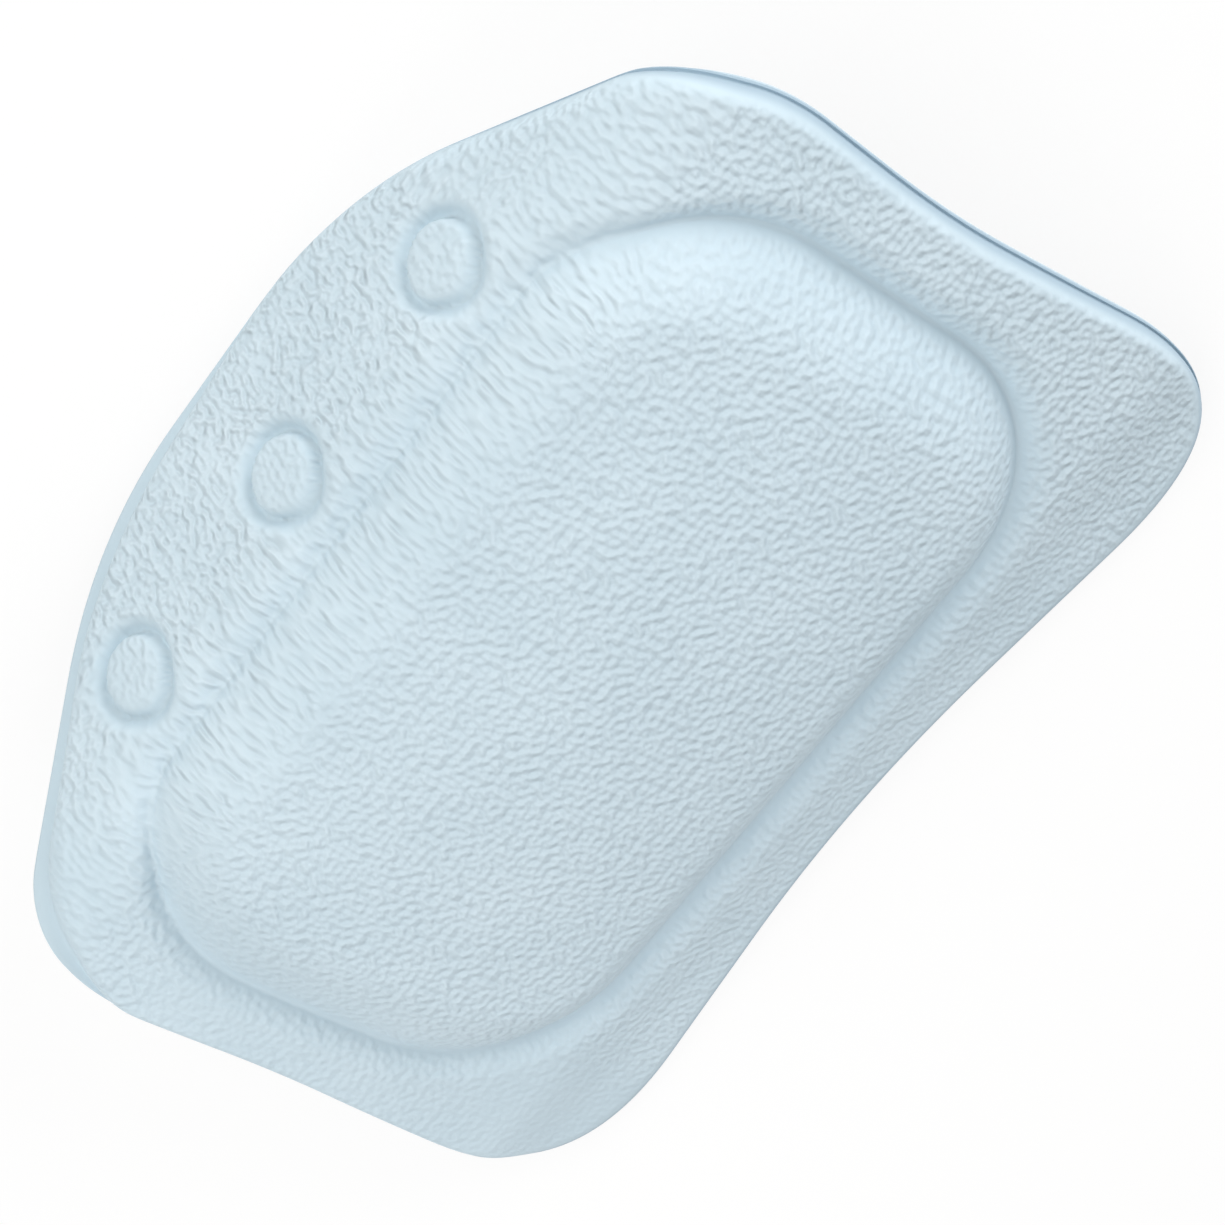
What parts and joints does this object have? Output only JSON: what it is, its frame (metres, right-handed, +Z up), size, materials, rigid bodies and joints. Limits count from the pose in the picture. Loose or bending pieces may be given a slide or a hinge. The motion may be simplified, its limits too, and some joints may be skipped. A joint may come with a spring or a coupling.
{
  "type": "bath pillow",
  "caption": "Moulded foam bath pillow: a raised grained cushion in a padded flange, with suction cups behind round buttons on a bent-back tab.",
  "frame": {"origin": "on the surface that the pillow lies on, under the middle of its outline", "axes": "+X along the row of cups, +Y from the bath side to the cup tab, +Z up out of the cushion"},
  "size_m": [0.3208, 0.2348, 0.0675],
  "materials": {
    "pad": "pebble-grained satin",
    "core_foam": "open-cell foam",
    "back": "smooth matt",
    "washer": "moulded",
    "cup": "clear soft vinyl, glossy"
  },
  "bodies": {
    "pad": {"front_pad": "pad", "cushion_core": "core_foam", "back_sheet": "back", "cup_washer_left": "washer", "cup_washer_centre": "washer", "cup_washer_right": "washer"},
    "cup_left": {"suction_cup_left": "cup"},
    "cup_centre": {"suction_cup_centre": "cup"},
    "cup_right": {"suction_cup_right": "cup"}
  },
  "joints": [
    {"name": "cup_left_swivel", "type": "hinge", "parent": "pad", "child": "cup_left", "pos_m": [-0.071, 0.08415, 0.03538], "axis": [0, 0.7608, 0.6489], "continuous": true},
    {"name": "cup_centre_swivel", "type": "hinge", "parent": "pad", "child": "cup_centre", "pos_m": [0, 0.08415, 0.03538], "axis": [0, 0.7608, 0.6489], "continuous": true},
    {"name": "cup_right_swivel", "type": "hinge", "parent": "pad", "child": "cup_right", "pos_m": [0.071, 0.08415, 0.03538], "axis": [0, 0.7608, 0.6489], "continuous": true}
  ]
}
